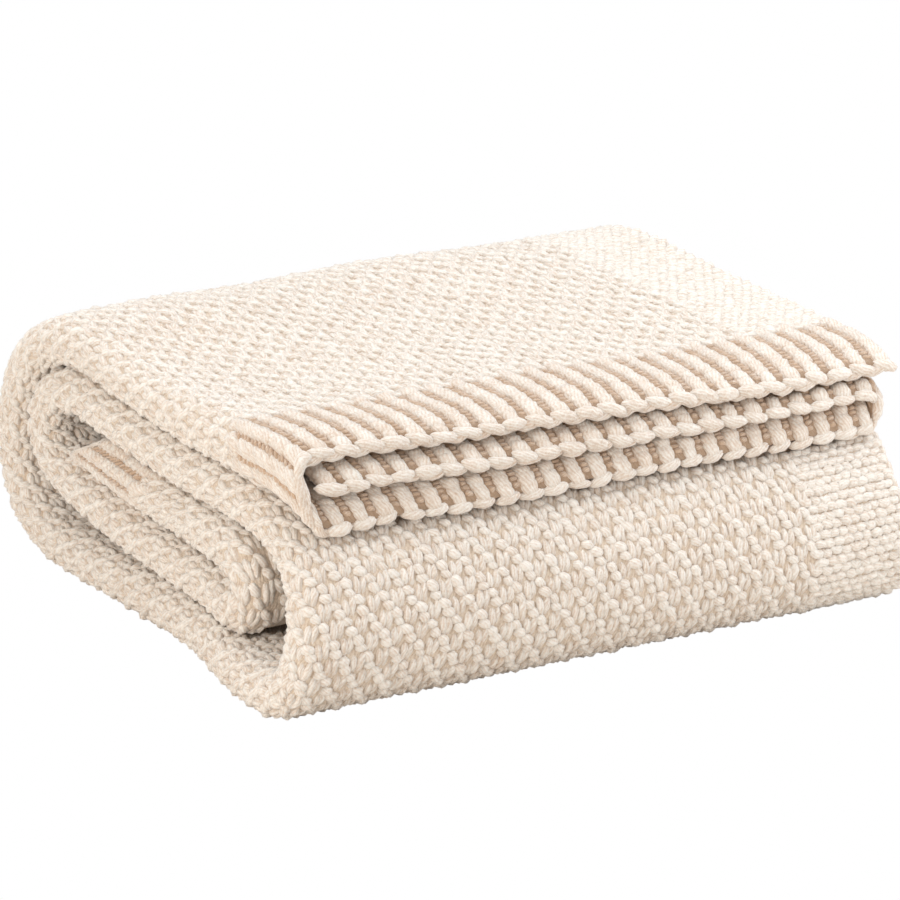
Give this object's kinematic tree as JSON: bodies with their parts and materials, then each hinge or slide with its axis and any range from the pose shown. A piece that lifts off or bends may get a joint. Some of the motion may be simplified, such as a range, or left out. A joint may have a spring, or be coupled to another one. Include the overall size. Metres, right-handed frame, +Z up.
{
  "type": "folded knit throw blanket",
  "caption": "Chunky knit wool throw blanket, folded in thirds across its width and rolled into a low rectangular stack with ribbed hems.",
  "frame": {"origin": "centre of the bounding box at its bottom, on the surface the blanket rests on", "axes": "+X along the bands towards the open selvedge end, +Y from the front turn to the rear turn, +Z up"},
  "size_m": [0.4456, 0.409, 0.1645],
  "materials": {
    "wool": "matte cream wool yarn, double moss stitch field, ribbed end borders, garter side borders"
  },
  "bodies": {
    "root": {"throw_blanket": "wool"}
  },
  "joints": []
}
